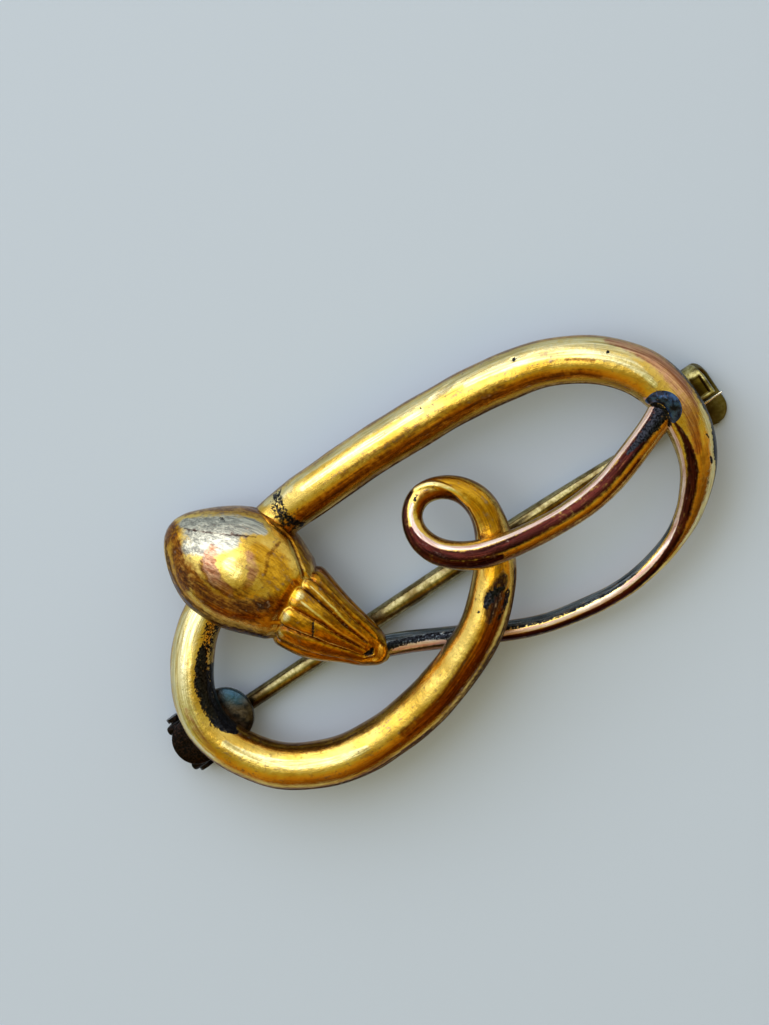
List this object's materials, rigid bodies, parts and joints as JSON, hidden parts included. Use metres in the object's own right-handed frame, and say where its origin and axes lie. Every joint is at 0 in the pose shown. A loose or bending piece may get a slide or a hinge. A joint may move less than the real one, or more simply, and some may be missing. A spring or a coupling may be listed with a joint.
{
  "type": "snake brooch",
  "caption": "Snake-shaped brooch of tapered gold tube with a ribbed head and one small loop, a hinged pin and an open C-shaped catch on its back.",
  "frame": {"origin": "under the middle of the whole brooch, on the surface it lies on", "axes": "+X along the pin from hinge to catch, +Z towards the brooch's front"},
  "size_m": [0.0404, 0.0196, 0.0072],
  "materials": {
    "rolled_gold": "polished, worn and tarnished",
    "pin_brass": "drawn, dull",
    "catch_brass": "rolled strip, dull",
    "hinge_grey": "oxidised",
    "solder_grey": "run and set, tarnished"
  },
  "bodies": {
    "brooch": {"snake_body": "rolled_gold"},
    "rivet": {"hinge_rivet": "hinge_grey"},
    "pin": {"pin_stem": "pin_brass"}
  },
  "joints": [
    {"name": "pin_swing", "type": "hinge", "parent": "brooch", "child": "rivet", "pos_m": [-0.01927, -0.00231, 0.00095], "axis": [0, 1, 0], "range_deg": [0, 105]},
    {"name": "pin_side", "type": "hinge", "parent": "rivet", "child": "pin", "pos_m": [-0.01927, -0.00231, 0.00095], "axis": [0, 0, -1], "range_deg": [0, 3]}
  ]
}
